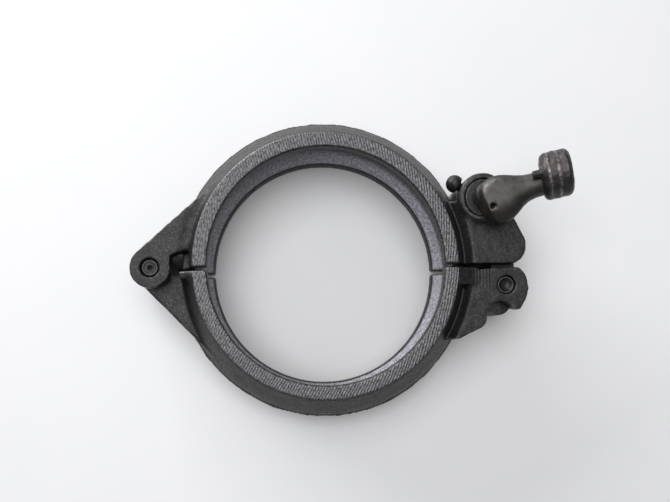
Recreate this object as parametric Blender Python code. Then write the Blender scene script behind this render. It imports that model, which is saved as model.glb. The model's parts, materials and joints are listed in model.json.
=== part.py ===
"""Hinged pipe coupling closed by a cam lever.

Two forged half rings turn on a hinge pin.  On the far side a hook swings on a pin in the
lower half, and a cam shaft in the upper half, turned by a lever with a striking head,
draws that hook tight.  The pipe axis is +Z and the coupling lies on its rear face.
"""

import math

import bpy
from mathutils import Matrix, Vector

MM = 0.001

# ---- driving dimensions, millimetres -------------------------------------------------

# ring
pipe_radius = 71.0          # bore of the two lips
ring_width = 48.0           # rear face to front face
lip_width = 8.0             # each lip, along the pipe
flank_rise = 4.0            # axial rise of the lip flanks
groove_depth = 8.0          # bore to the floor of the groove that holds the pipe collars
face_width = 8.5            # flat end faces, bore to chamfer
shoulder_height = 16.4      # bore to the outer edge of the chamfers
shoulder_offset = 9.3       # shoulder to mid plane, along the pipe
rim_height = 20.9           # bore to the outside, at the mid plane
split_gap = 2.4             # between the two halves
pad_depth_right = 11.0      # thick ends of the lower half beside the split
pad_depth_left = 4.6
pad_inset = 3.0             # how far the pads reach under the end face
pad_short_left = 4.0        # how much sooner the left pad ends
valley_depth = 9.5          # end face to the floor of the valley at the foot of the lugs
valley_floor_width = 0.8
hinge_valley_depth = 6.2    # the same beside the hinge, where it is shallower
valley_mouth_inset = 2.3    # rim to the valley's outer edge, in the cheeks' outer faces
valley_skin = 0.1           # left on the chamfers beside the valley
ring_segments = 96

# clearances
turning_gap = 0.3           # radial, between parts that turn on each other
seat_gap = 0.3              # between parts fixed in each other
side_gap = 0.5              # axial, between a tongue and its fork

# pins
pin_set = 0.2               # rear ends, in from the rear cheeks
pin_edge = 0.6              # edges of the pins

# forks on both sides of the ring
fork_slot = 20.0            # between the inner faces of the cheeks
front_cheek = 9.5           # thickness of the front cheeks
rear_cheek = 9.5            # thickness of the rear cheeks
root_depth = 10.0           # how far below the rim the lugs are rooted in the ring

# hinge, left
hinge_clear = 13.0          # rim to hinge axis
hinge_rise = 1.4            # hinge axis above the split
hinge_boss_radius = 12.0
hinge_pin_radius = 5.3
hinge_pin_sunk = 0.6        # front end below the cheek
pocket_rise = 8.4           # relief in the upper half beside the hinge
pocket_slope = 3.8          # how much higher the relief is at its inner end
pocket_depth = 11.0         # how far the relief reaches in from the rim
tongue_boss_radius = 11.4
tongue_web_inset = 4.9      # rim to where the web runs out of the ring

# keeper pin in the lower half, right
keeper_clear = 18.1         # rim to keeper axis
keeper_drop = 12.0
keeper_pin_radius = 5.3
keeper_pin_sunk = 1.2
lower_lobe_radius = 13.4
lower_lobe_top = 4.6        # keeper axis to where the lobe meets the split
lower_lobe_left = [(-29.4, -32.5), (-23.0, -29.4), (-15.2, -25.9), (-12.6, -22.6)]
lower_lobe_right = [(8.6, -15.4), (12.6, -8.2), (14.0, -2.1)]
tail_notch = (-3.9, -17.8)  # notch for the hook's tail; all four from the keeper axis
tail_notch_radius = 8.2

# cam shaft in the upper half, right
shaft_clear = 4.1           # rim to shaft axis, across
shaft_rise = 40.8
shaft_boss_radius = 15.2
upper_lobe_across = 15.2    # shaft axis to the middle of the lobe below it
upper_lobe_drop = 28.8
upper_lobe_radius = 11.6
upper_lobe_foot = 4.6       # middle of the lobe to its foot at the split
boss_height = 2.4           # boss above the front cheek
front_journal_radius = 9.0
rear_journal_radius = 6.0
cam_radius = 7.7
cam_throw = 0.8             # cam centre from the shaft axis; the cam draws the hook by this
cam_flat = 3.4              # from the shaft axis to the relieved side of the cam
cam_flat_angle = 12.3       # direction of the relieved side when released
spigot_radius = 5.0
spigot_length = 9.5         # how far the spigot reaches into the lever
counterbore_radius = 11.4
washer_thickness = 1.8

# hook
hook_jaw_gap = 0.4          # between the cam's high side and the jaw
hook_thickness = 19.0
hook_eye_radius = 10.4
hook_back = 6.2             # thickness of the hook behind its jaw
jaw_start = -38.0           # angles of the jaw round the shaft axis
jaw_end = 72.0
tail_radius = 8.6
tail_reach = 9.8            # keeper axis to the centre of the round tail
tail_angle = 257.0

# lever
lever_azimuth = 25.0
hub_back = 8.0              # back of the hub behind the shaft axis
hub_radius = 14.2
hub_offset_along = 4.0      # hub centre from the shaft axis, along the lever
hub_offset_across = -6.0
hub_height = 15.0
hub_collar_radius = 7.4     # round end of the hub on the spigot
hub_collar_height = 7.5     # straight side of the collar; a low dome closes it
hub_dome_height = 3.5
hub_pin_radius = 1.5
hub_pin_azimuth = -85.0     # the pin leans over this way
hub_pin_lean = 40.0         # from the shaft axis
hub_pin_low = -5.2          # lower and upper end, along the pin from the shaft axis
hub_pin_high = 9.0
neck_radius = 7.2
head_radius = 13.6
head_length = 16.6
head_edge = 1.8
head_distance = 37.8        # shaft axis to the head's centre, in plan
head_rise = 19.6            # head's centre above the underside of the hub
head_azimuth = 12.6         # direction of the head's centre from the shaft axis
head_turn = 10.0            # direction that the head's axis points to, in plan
head_tilt = 18.0            # rise of the head's axis
neck_side = 3.0             # how far the neck meets the head off its centre
head_pin_radius = 2.2
head_pin_angle = 64.0       # round the neck, from its side towards its top
head_pin_stand = 5.5        # how far the pin stands out of the head
head_pin_set = 4.0          # how deep it sits in the head

# round-headed retaining pin
retainer_angle = 149.0      # direction from the shaft axis
retainer_radius = 2.4
retainer_head_radius = 5.3
retainer_reach = 18.9       # shaft axis to the centre of the round head
retainer_stand = 0.5        # gap between the round head and the boss
retainer_groove = 1.6       # depth of the groove that its tip rides in

# ---- derived sizes --------------------------------------------------------------------

groove_radius = pipe_radius + groove_depth
face_outer_radius = pipe_radius + face_width
shoulder_radius = pipe_radius + shoulder_height
rim_radius = pipe_radius + rim_height
valley_mouth_radius = rim_radius - valley_mouth_inset
hinge_reach = rim_radius + hinge_clear
keeper_reach = rim_radius + keeper_clear
shaft_reach = rim_radius + shaft_clear
mid = ring_width / 2
slot_low = mid - fork_slot / 2
slot_high = mid + fork_slot / 2
front_face = slot_high + front_cheek
rear_face = slot_low - rear_cheek
tongue_low = slot_low + side_gap
tongue_high = slot_high - side_gap
boss_top = front_face + boss_height
washer_seat = boss_top - washer_thickness - 2 * seat_gap
hub_low = boss_top + side_gap
spigot_top = hub_low + spigot_length
half_gap = split_gap / 2
root_radius = rim_radius - root_depth
retainer_height = (slot_high + washer_seat) / 2
hinge = (-hinge_reach, hinge_rise)
keeper = (keeper_reach, -keeper_drop)
shaft = (shaft_reach, shaft_rise)


# ---- drawing and solid helpers --------------------------------------------------------

def clear_scene():
    for obj in list(bpy.data.objects):
        bpy.data.objects.remove(obj, do_unlink=True)


def polar(centre, radius, degrees):
    angle = math.radians(degrees)
    return (centre[0] + radius * math.cos(angle), centre[1] + radius * math.sin(angle))


def arc(centre, radius, start, end, steps):
    """Points on an arc from start to end degrees, both ends included."""
    return [polar(centre, radius, start + (end - start) * i / steps) for i in range(steps + 1)]


def tangent_angle(centre, radius, point, side):
    """Direction from the circle's centre to where a line from point touches it."""
    dx = point[0] - centre[0]
    dy = point[1] - centre[1]
    spread = math.degrees(math.acos(radius / math.hypot(dx, dy)))
    return math.degrees(math.atan2(dy, dx)) + side * spread


def shared_tangent(centre, radius, ring_radius, side):
    """Direction of the normal of the line that touches a lug's boss and the ring."""
    distance = math.hypot(centre[0], centre[1])
    spread = math.degrees(math.acos((ring_radius - radius) / distance))
    return math.degrees(math.atan2(centre[1], centre[0])) % 360.0 + side * spread


def make_object(name, vertices, faces, parent=None):
    mesh = bpy.data.meshes.new(name)
    mesh.from_pydata([[value * MM for value in vertex] for vertex in vertices], [], faces)
    mesh.update()
    obj = bpy.data.objects.new(name, mesh)
    bpy.context.scene.collection.objects.link(obj)
    obj.parent = parent
    return obj


def prism(name, outline, low, high):
    """A flat plate with a counter-clockwise outline, from z = low to z = high."""
    count = len(outline)
    vertices = [(x, y, low) for x, y in outline] + [(x, y, high) for x, y in outline]
    faces = [tuple(reversed(range(count))), tuple(range(count, 2 * count))]
    faces += [(i, (i + 1) % count, count + (i + 1) % count, count + i) for i in range(count)]
    return make_object(name, vertices, faces)


def turned(name, profile, centre, segments):
    """A solid turned round the line through centre along z.

    profile holds (radius, z) points, from the bottom of the axis to its top."""
    inner = profile[1:-1]
    vertices = []
    for radius, z in inner:
        for i in range(segments):
            x, y = polar(centre, radius, 360.0 * i / segments)
            vertices.append((x, y, z))
    bottom = len(vertices)
    vertices.append((centre[0], centre[1], profile[0][1]))
    vertices.append((centre[0], centre[1], profile[-1][1]))
    faces = []
    for ring in range(len(inner) - 1):
        for i in range(segments):
            a = ring * segments + i
            b = ring * segments + (i + 1) % segments
            faces.append((a, b, b + segments, a + segments))
    last = (len(inner) - 1) * segments
    for i in range(segments):
        j = (i + 1) % segments
        faces.append((bottom, j, i))
        faces.append((bottom + 1, last + i, last + j))
    return make_object(name, vertices, faces)


def closed_ring(name, profile, segments):
    """A ring turned round the pipe axis; profile is a closed loop of (radius, z)."""
    count = len(profile)
    vertices = []
    for i in range(segments):
        for radius, z in profile:
            x, y = polar((0.0, 0.0), radius, 360.0 * (i + 0.5) / segments)
            vertices.append((x, y, z))
    faces = []
    for i in range(segments):
        j = (i + 1) % segments
        for k in range(count):
            m = (k + 1) % count
            faces.append((i * count + k, j * count + k, j * count + m, i * count + m))
    return make_object(name, vertices, faces)


def box(name, low, high):
    outline = [(low[0], low[1]), (high[0], low[1]), (high[0], high[1]), (low[0], high[1])]
    return prism(name, outline, low[2], high[2])


def combine(target, tool, operation):
    """Join tool to target or cut it away; tool stays as a hidden guide."""
    modifier = target.modifiers.new(operation.lower() + "_" + tool.name, "BOOLEAN")
    modifier.operation = operation
    modifier.solver = "EXACT"
    modifier.object = tool
    tool.hide_render = True
    tool.display_type = "WIRE"
    tool.parent = target


def orient(obj, matrix):
    obj.data.transform(matrix)
    obj.data.update()


def set_origin(obj, centre, parent):
    """Put the object's origin on the vertical axis through centre, under its parent."""
    place = Vector((centre[0] * MM, centre[1] * MM, 0.0))
    for part in [obj] + list(obj.children):
        part.data.transform(Matrix.Translation(-place))
    obj.parent = parent
    obj.location = place - parent_place(parent)


def parent_place(parent):
    place = Vector((0.0, 0.0, 0.0))
    while parent is not None:
        place += parent.location
        parent = parent.parent
    return place


def axis_empty(name, centre, parent):
    empty = bpy.data.objects.new(name, None)
    bpy.context.scene.collection.objects.link(empty)
    empty.parent = parent
    empty.location = Vector((centre[0] * MM, centre[1] * MM, 0.0)) - parent_place(parent)
    return empty


def finish(obj, colour, roughness, metallic):
    material = bpy.data.materials.new(obj.name + "_finish")
    material.use_nodes = True
    shader = material.node_tree.nodes["Principled BSDF"]
    shader.inputs["Base Color"].default_value = (*colour, 1.0)
    shader.inputs["Roughness"].default_value = roughness
    shader.inputs["Metallic"].default_value = metallic
    obj.data.materials.clear()
    obj.data.materials.append(material)
    obj.data.shade_smooth()
    obj.data.set_sharp_from_angle(angle=math.radians(30.0))


FORGED = ((0.030, 0.028, 0.028), 0.55, 0.7)
WORN = ((0.060, 0.055, 0.052), 0.42, 0.85)
CAST = ((0.085, 0.083, 0.085), 0.40, 0.8)


# ---- the two half rings ---------------------------------------------------------------

def ring_profile():
    """Section of the ring, counter-clockwise in (radius, z)."""
    step = lip_width + flank_rise
    return [
        (pipe_radius, 0.0),
        (face_outer_radius, 0.0),
        (shoulder_radius, mid - shoulder_offset),
        (rim_radius, mid),
        (shoulder_radius, mid + shoulder_offset),
        (face_outer_radius, ring_width),
        (pipe_radius, ring_width),
        (pipe_radius, ring_width - lip_width),
        (groove_radius, ring_width - step),
        (groove_radius, step),
        (pipe_radius, lip_width),
    ]


def root_arc(start, end, steps=6):
    """The inner edge of a lug, buried in the ring from start to end degrees."""
    return arc((0.0, 0.0), root_radius, start, end, steps)


def half_box(name, upper):
    """The half space that cuts one half ring out of the full ring."""
    reach = rim_radius + 5.0
    if upper:
        return box(name, (-reach, half_gap, -1.0), (reach, reach, ring_width + 1.0))
    return box(name, (-reach, -reach, -1.0), (reach, -half_gap, ring_width + 1.0))


def half_ring(name, upper):
    half = closed_ring(name, ring_profile(), ring_segments)
    combine(half, half_box(name + "_side", upper), "INTERSECT")
    return half


def upper_right_outline():
    """Cheek that carries the cam shaft: a round boss above a rounded lobe."""
    lobe = (shaft_reach + upper_lobe_across, shaft_rise - upper_lobe_drop)
    points = [(polar((0.0, 0.0), root_radius, 2.0)[0], half_gap)]
    points += [(lobe[0] + upper_lobe_foot, half_gap)]
    points += arc(lobe, upper_lobe_radius, -52.0, 24.0, 6)
    points += arc(shaft, shaft_boss_radius, -12.0, 186.0, 18)
    points += root_arc(30.0, 3.0)
    return points


def lower_right_outline():
    """Cheek that carries the keeper pin: an eye-shaped lobe with a round notch below."""
    def beside_keeper(steps):
        return [(keeper[0] + across, keeper[1] + up) for across, up in steps]

    points = root_arc(-2.0, -34.0)
    points += beside_keeper(lower_lobe_left)
    points += arc(beside_keeper([tail_notch])[0], tail_notch_radius, 162.0, 24.0, 10)
    points += beside_keeper(lower_lobe_right)
    points += arc(keeper, lower_lobe_radius, 5.0, 52.0, 5)
    points += [(keeper[0] + lower_lobe_top, -half_gap)]
    return points


def upper_left_outline():
    """Hinge cheek of the upper half: a web running from the ring to a round boss."""
    normal = shared_tangent(hinge, hinge_boss_radius, root_radius, -1)
    points = root_arc(normal, 171.0)
    points += arc(hinge, hinge_boss_radius, 14.0, normal - 360.0, 18)
    return points


def lower_left_outline():
    """Hinge tongue of the lower half: a web running from the ring to a round boss."""
    web_radius = rim_radius - tongue_web_inset
    normal = shared_tangent(hinge, tongue_boss_radius, web_radius, 1)
    points = [(-root_radius, -split_gap)]
    points += [(-rim_radius - 0.4, -split_gap)]
    points += arc(hinge, tongue_boss_radius, 0.0, normal, 16)
    points += [polar((0.0, 0.0), web_radius, normal)]
    points += root_arc(normal, 184.0)
    return points


def add_lug(half, outline, low, high, name):
    if signed_area(outline) < 0.0:
        outline = list(reversed(outline))
    combine(half, prism(name, outline, low, high), "UNION")


def signed_area(outline):
    total = 0.0
    for (x1, y1), (x2, y2) in zip(outline, outline[1:] + outline[:1]):
        total += x1 * y2 - x2 * y1
    return total / 2


def bar(name, centre, radius, low, high):
    return prism(name, arc(centre, radius, 0.0, 360.0, 32)[:-1], low, high)


def bore(half, name, centre, radius, low, high):
    combine(half, bar(name, centre, radius, low, high), "DIFFERENCE")


def hinge_pocket():
    """Relief beside the hinge, open to the front and to the split."""
    outer = -rim_radius - 1.0
    inner = outer + pocket_depth
    outline = [(outer, 0.0), (inner, 0.0), (inner, pocket_rise + pocket_slope),
               (outer, pocket_rise)]
    return prism("hinge_pocket", outline, slot_high, ring_width + 1.0)


def cut_valleys(half, name, valley):
    """The valley that the forging die leaves between the ring and its lugs, on both sides."""
    def on_chamfer(depth):
        run = shoulder_radius - face_outer_radius
        drop = mid - shoulder_offset
        return face_outer_radius + valley_skin + depth * run / drop

    floor = on_chamfer(valley)
    above = -1.0
    profile = [(floor, valley), (on_chamfer(above), above), (valley_mouth_radius, above),
               (valley_mouth_radius, rear_face), (floor + valley_floor_width, valley)]
    rear = closed_ring(name + "_rear_valley", profile, ring_segments)
    combine(half, rear, "DIFFERENCE")
    mirrored = [(radius, ring_width - z) for radius, z in profile]
    front = closed_ring(name + "_front_valley", mirrored[::-1], ring_segments)
    combine(half, front, "DIFFERENCE")


def split_pad(name, side, depth, short=0.0):
    """Thick end of the lower half beside the split; its top falls from face to cheek."""
    inner = side * (face_outer_radius - pad_inset)
    outer = side * (rim_radius - short)
    vertices = []
    for x, top in ((inner, ring_width - 0.2), (outer, front_face)):
        for y in (-half_gap, -half_gap - depth):
            vertices += [(x, y, slot_high + side_gap), (x, y, top)]
    faces = [(0, 1, 3, 2), (4, 6, 7, 5), (0, 4, 5, 1), (2, 3, 7, 6), (0, 2, 6, 4), (1, 5, 7, 3)]
    if side < 0:
        faces = [tuple(reversed(face)) for face in faces]
    return make_object(name, vertices, faces)


def upper_half(parent):
    half = half_ring("upper_half", True)
    add_lug(half, upper_right_outline(), slot_high, front_face, "upper_front_cheek")
    add_lug(half, upper_right_outline(), rear_face, slot_low, "upper_rear_cheek")
    cut_valleys(half, "upper", valley_depth)
    add_lug(half, upper_left_outline(), slot_high, front_face, "hinge_front_cheek")
    add_lug(half, upper_left_outline(), rear_face, slot_low, "hinge_rear_cheek")
    cut_valleys(half, "hinge", hinge_valley_depth)
    boss = arc(shaft, shaft_boss_radius, 0.0, 360.0, 40)[:-1]
    add_lug(half, boss, front_face - 1.0, boss_top, "shaft_boss")
    combine(half, hinge_pocket(), "DIFFERENCE")
    bore(half, "hinge_bore", hinge, hinge_pin_radius + seat_gap, rear_face - 1, front_face + 1)
    bore(half, "front_journal_bore", shaft, front_journal_radius + turning_gap,
         slot_high - 1.0, boss_top + 1.0)
    bore(half, "rear_journal_bore", shaft, rear_journal_radius + turning_gap,
         rear_face - 1.0, slot_low + 1.0)
    bore(half, "washer_counterbore", shaft, counterbore_radius, washer_seat, boss_top + 1.0)
    combine(half, retainer_hole(), "DIFFERENCE")
    set_origin(half, hinge, parent)
    finish(half, *FORGED)
    return half


def lower_half(parent):
    half = half_ring("lower_half", False)
    add_lug(half, lower_right_outline(), slot_high, front_face, "lower_front_cheek")
    add_lug(half, lower_right_outline(), rear_face, slot_low, "lower_rear_cheek")
    add_lug(half, lower_left_outline(), tongue_low, tongue_high, "hinge_tongue")
    cut_valleys(half, "lower", valley_depth)
    combine(half, split_pad("split_pad_right", 1, pad_depth_right), "UNION")
    left_pad = split_pad("split_pad_left", -1, pad_depth_left, pad_short_left)
    combine(half, left_pad, "UNION")
    bore(half, "tongue_bore", hinge, hinge_pin_radius + turning_gap, tongue_low - 1, tongue_high + 1)
    bore(half, "keeper_bore", keeper, keeper_pin_radius + seat_gap, rear_face - 1, front_face + 1)
    finish(half, *FORGED)
    half.parent = parent
    return half


# ---- pins -----------------------------------------------------------------------------

def pin_ends(radius, low, top):
    """Half section of a plain pin with broken edges, without the middle of its top."""
    return [(0, low), (radius - pin_edge, low), (radius, low + pin_edge),
            (radius, top - pin_edge), (radius - pin_edge, top)]


def hinge_pin(parent):
    """Plain pin with a countersunk, centre-punched end at the front."""
    top = front_face - hinge_pin_sunk
    low = rear_face + pin_set
    profile = pin_ends(hinge_pin_radius, low, top)
    profile += [(2.4, top), (1.2, top - 1.4), (0, top - 1.4)]
    pin = turned("hinge_pin", profile, hinge, 32)
    set_origin(pin, hinge, parent)
    finish(pin, *WORN)


def keeper_pin(parent):
    """Pin across the lower fork that the hook swings on."""
    top = front_face - keeper_pin_sunk
    low = rear_face + pin_set
    profile = pin_ends(keeper_pin_radius, low, top) + [(3.0, top), (0, top - 1.2)]
    pin = turned("keeper_pin", profile, keeper, 32)
    set_origin(pin, keeper, parent)
    finish(pin, *WORN)


# ---- hook -----------------------------------------------------------------------------

def hook_outline():
    """Side view of the hook: eye and tail below, back on the right, jaw at the top."""
    jaw = cam_radius + cam_throw + hook_jaw_gap
    back = jaw + hook_back
    outer_low = tangent_angle(shaft, back, polar(keeper, hook_eye_radius, 14.0), 1)
    points = arc(keeper, hook_eye_radius, -62.0, 14.0, 6)
    points += arc(shaft, back, outer_low, jaw_end, 10)
    points += arc(shaft, jaw, jaw_end, jaw_start, 12)
    points += arc(keeper, hook_eye_radius, 128.0, 196.0, 6)
    points += arc(polar(keeper, tail_reach, tail_angle), tail_radius, 180.0, 330.0, 10)
    return points


def hook_link(parent):
    low = mid - hook_thickness / 2
    high = mid + hook_thickness / 2
    hook = prism("hook_link", hook_outline(), low, high)
    bore(hook, "hook_eye", keeper, keeper_pin_radius + turning_gap, low - 1.0, high + 1.0)
    set_origin(hook, keeper, parent)
    finish(hook, *FORGED)


# ---- cam shaft, washer and retaining pin ----------------------------------------------

def cam_shaft(parent):
    """Stepped shaft: rear journal, relieved cam between the cheeks, front journal, spigot."""
    low = rear_face + pin_set
    journal_top = washer_seat - seat_gap
    cam_low = slot_low + side_gap
    cam_high = slot_high - side_gap
    profile = [
        (0, low), (rear_journal_radius - pin_edge, low), (rear_journal_radius, low + pin_edge),
        (rear_journal_radius, cam_high), (front_journal_radius, cam_high),
        (front_journal_radius, journal_top),
        (spigot_radius, journal_top), (spigot_radius, spigot_top), (0, spigot_top),
    ]
    body = turned("cam_shaft", profile, shaft, 40)
    cam_centre = polar(shaft, -cam_throw, cam_flat_angle)
    cam = bar("cam", cam_centre, cam_radius, cam_low, cam_high + side_gap / 2)
    combine(body, cam, "UNION")
    relief = box("cam_relief", (cam_flat, -20.0, cam_low), (20.0, 20.0, cam_high))
    turn = Matrix.Rotation(math.radians(cam_flat_angle), 4, "Z")
    shift = Matrix.Translation((shaft[0] * MM, shaft[1] * MM, 0.0))
    orient(relief, shift @ turn)
    combine(body, relief, "DIFFERENCE")
    combine(body, retainer_groove_cutter(), "DIFFERENCE")
    combine(body, hub_pin_solid("shaft_pin_hole", seat_gap, hub_height), "DIFFERENCE")
    set_origin(body, shaft, parent)
    finish(body, *WORN)


def retainer_groove_cutter():
    """Ring cut into the front journal, where the retaining pin's tip rides."""
    half_width = retainer_radius - 0.6
    height = retainer_height
    deep = front_journal_radius - retainer_groove
    out = front_journal_radius + 2.0
    profile = [(deep, height - half_width), (out, height - half_width),
               (out, height + half_width), (deep, height + half_width)]
    groove = closed_ring("retainer_groove", profile, 40)
    orient(groove, Matrix.Translation((shaft[0] * MM, shaft[1] * MM, 0.0)))
    return groove


def along_retainer(obj):
    """Lay a solid drawn along z from the shaft axis in the retaining pin's direction."""
    lay = Matrix.Rotation(math.radians(90.0), 4, "Y")
    turn = Matrix.Rotation(math.radians(retainer_angle), 4, "Z")
    shift = Matrix.Translation((shaft[0] * MM, shaft[1] * MM, retainer_height * MM))
    orient(obj, shift @ turn @ lay)
    return obj


def retainer_hole():
    radius = retainer_radius + seat_gap
    reach = shaft_boss_radius + 8.0
    profile = [(0, front_journal_radius - 2.0), (radius, front_journal_radius - 2.0),
               (radius, reach), (0, reach)]
    return along_retainer(turned("retainer_hole", profile, (0.0, 0.0), 20))


def retaining_pin(parent):
    """Round-headed pin driven into the shaft boss; its tip keeps the shaft in place."""
    tip = front_journal_radius - retainer_groove + turning_gap
    neck = retainer_radius
    tip_radius = retainer_radius - 0.6 - turning_gap
    step = front_journal_radius + turning_gap
    head = retainer_head_radius
    shoulder = shaft_boss_radius + retainer_stand
    profile = [(0, tip), (tip_radius, tip), (tip_radius, step), (neck, step), (neck, shoulder)]
    start = math.degrees(math.acos((shoulder + 1.0 - retainer_reach) / head))
    steps = 7
    for i in range(steps):
        angle = math.radians(start * (1.0 - i / steps))
        profile.append((head * math.sin(angle), retainer_reach + head * math.cos(angle)))
    profile.append((0, retainer_reach + head))
    pin = along_retainer(turned("retaining_pin", profile, (0.0, 0.0), 20))
    set_origin(pin, shaft, parent)
    finish(pin, *WORN)


def hub_washer(parent):
    """Plain washer in the counterbore, between the front journal and the lever."""
    inner = spigot_radius + turning_gap
    outer = counterbore_radius - turning_gap
    low = washer_seat + seat_gap
    high = low + washer_thickness
    profile = [(inner, low), (outer, low), (outer, high), (inner, high)]
    washer = closed_ring("hub_washer", profile, 40)
    orient(washer, Matrix.Translation((shaft[0] * MM, shaft[1] * MM, 0.0)))
    set_origin(washer, shaft, parent)
    finish(washer, *WORN)


# ---- lever ----------------------------------------------------------------------------

def hub_centre():
    """Middle of the lever's hub in plan; the hub sits off the shaft axis."""
    along = polar((0.0, 0.0), hub_offset_along, lever_azimuth)
    across = polar((0.0, 0.0), hub_offset_across, lever_azimuth + 90.0)
    return (shaft[0] + along[0] + across[0], shaft[1] + along[1] + across[1])


def hub_pin_solid(name, growth, high):
    """Round bar that leans through the hub into the spigot."""
    radius = hub_pin_radius + growth
    low = hub_pin_low - growth
    bar_along_z = turned(name, [(0, low), (radius, low), (radius, high), (0, high)], (0.0, 0.0), 16)
    lean = Matrix.Rotation(math.radians(hub_pin_lean), 4, "Y")
    turn = Matrix.Rotation(math.radians(hub_pin_azimuth), 4, "Z")
    height = (hub_low + spigot_top) / 2
    orient(bar_along_z, Matrix.Translation(Vector((*shaft, height)) * MM) @ turn @ lean)
    return bar_along_z


def head_centre():
    x, y = polar(shaft, head_distance, head_azimuth)
    return Vector((x, y, hub_low + head_rise))


def head_axis():
    turn = math.radians(head_turn)
    tilt = math.radians(head_tilt)
    return Vector((math.cos(turn) * math.cos(tilt), math.sin(turn) * math.cos(tilt),
                   math.sin(tilt)))


def head_side():
    turn = math.radians(head_turn)
    return Vector((-math.sin(turn), math.cos(turn), 0.0))


def head_frame():
    """Frame at the head's centre: z along the head's axis, y sideways in plan."""
    axis = head_axis()
    side = head_side()
    turn = Matrix((side.cross(axis), side, axis)).transposed().to_4x4()
    return Matrix.Translation(head_centre() * MM) @ turn


def lever_sections():
    """Ellipses lofted into the lever: wide hub, shoulder, neck up to the head.

    Each row holds the middle, the half width, the half height, the sideways direction
    and the upward direction of one ellipse."""
    centre = hub_centre()
    base = Vector((centre[0], centre[1], hub_low + hub_height / 2))
    end = head_centre() - head_axis() * (head_length / 2 + seat_gap) - head_side() * neck_side
    back = polar(centre, -(hub_back + hub_offset_along), lever_azimuth)
    start = Vector((back[0], back[1], base.z))
    azimuth = math.radians(lever_azimuth)
    hub_side = Vector((-math.sin(azimuth), math.cos(azimuth), 0.0))
    bend = end - head_axis() * (end - base).length * 0.45
    neck_share = neck_radius / hub_radius
    shape = [(0.04, 0.34), (0.05, 0.55), (0.075, 0.76), (0.12, 0.91), (0.18, 0.98), (0.24, 1.0),
             (0.32, 0.97), (0.42, 0.85), (0.54, 0.67), (0.66, 0.55), (0.80, neck_share),
             (1.0, neck_share)]
    rows = []
    for share, width in shape:
        middle = start.lerp(bend, share).lerp(bend.lerp(end, share), share)
        blend = max(0.0, min(1.0, (share - 0.3) / 0.5))
        blend = blend * blend * (3 - 2 * blend)
        half_width = hub_radius * width
        half_height = min(hub_height / 2, half_width)
        height = half_height + (neck_radius - half_height) * blend
        side = hub_side.lerp(head_side(), share).normalized()
        up = Vector((0.0, 0.0, 1.0)).lerp(head_axis().cross(head_side()), blend).normalized()
        rows.append((middle, half_width, height, side, up))
    return rows


def hub_collar():
    """Round end of the hub, closed by a low dome, that the spigot enters from below."""
    radius = hub_collar_radius
    side = hub_low + hub_collar_height
    profile = [(0, hub_low), (radius, hub_low), (radius, side)]
    for angle in (30.0, 60.0):
        across = radius * math.cos(math.radians(angle))
        profile.append((across, side + hub_dome_height * math.sin(math.radians(angle))))
    profile.append((0, side + hub_dome_height))
    return turned("hub_collar", profile, shaft, 32)


def lever_arm(parent):
    """One forging: hub that sits on the shaft's spigot, and a neck that carries the head."""
    steps = 24
    vertices = []
    for middle, half_width, height, side, up in lever_sections():
        for i in range(steps):
            angle = 2 * math.pi * i / steps
            point = middle + side * half_width * math.cos(angle) + up * height * math.sin(angle)
            vertices.append(tuple(point))
    rows = len(vertices) // steps
    faces = [tuple(range(steps)), tuple(reversed(range((rows - 1) * steps, rows * steps)))]
    for row in range(rows - 1):
        for i in range(steps):
            j = (i + 1) % steps
            a = row * steps
            b = a + steps
            faces.append((a + j, a + i, b + i, b + j))
    arm = make_object("lever_arm", vertices, faces)
    trim = box("hub_floor", (0.0, -20.0, 0.0), (200.0, 120.0, hub_low))
    combine(arm, trim, "DIFFERENCE")
    combine(arm, hub_collar(), "UNION")
    bore(arm, "spigot_bore", shaft, spigot_radius + seat_gap, 0.0, spigot_top + seat_gap)
    combine(arm, hub_pin_solid("hub_pin_hole", seat_gap, hub_height), "DIFFERENCE")
    set_origin(arm, shaft, parent)
    finish(arm, *CAST)


def hub_roll_pin(parent):
    """Spring pin through the hub that keys the lever to the shaft."""
    pin = hub_pin_solid("hub_roll_pin", 0.0, hub_pin_high)
    set_origin(pin, shaft, parent)
    finish(pin, *WORN)


def striking_head(parent):
    """Short cylinder on the end of the neck, with both edges worn round."""
    half = head_length / 2
    edge = head_edge
    profile = [(0, -half), (head_radius - edge, -half), (head_radius, -half + edge),
               (head_radius, half - edge), (head_radius - edge, half), (0, half)]
    head = turned("striking_head", profile, (0.0, 0.0), 40)
    orient(head, head_frame())
    combine(head, head_pin_solid("head_pin_hole", seat_gap), "DIFFERENCE")
    set_origin(head, shaft, parent)
    finish(head, *WORN)


def head_pin_solid(name, growth):
    """Pin set along the head's back face, just beside the neck."""
    radius = head_pin_radius + growth
    face = -head_length / 2
    across, above = polar((-neck_side, 0.0), neck_radius + head_pin_radius + seat_gap,
                          head_pin_angle)
    profile = [(0, face - head_pin_stand), (radius - 0.5, face - head_pin_stand),
               (radius, face - head_pin_stand + 0.5), (radius, face + head_pin_set + growth),
               (0, face + head_pin_set + growth)]
    pin = turned(name, profile, (-above, across), 20)
    orient(pin, head_frame())
    return pin


def head_pin(parent):
    pin = head_pin_solid("head_pin", 0.0)
    set_origin(pin, shaft, parent)
    finish(pin, *WORN)


# ---- assembly -------------------------------------------------------------------------

def stand_on_origin(root):
    """Move the whole coupling so that the middle of its footprint is the origin."""
    bpy.context.view_layer.update()
    depsgraph = bpy.context.evaluated_depsgraph_get()
    corners = []
    for obj in bpy.data.objects:
        if obj.type != "MESH" or obj.hide_render:
            continue
        evaluated = obj.evaluated_get(depsgraph)
        corners += [evaluated.matrix_world @ v.co for v in evaluated.data.vertices]
    low = [min(c[i] for c in corners) for i in range(3)]
    high = [max(c[i] for c in corners) for i in range(3)]
    root.location = (-(low[0] + high[0]) / 2, -(low[1] + high[1]) / 2, -low[2])


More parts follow.
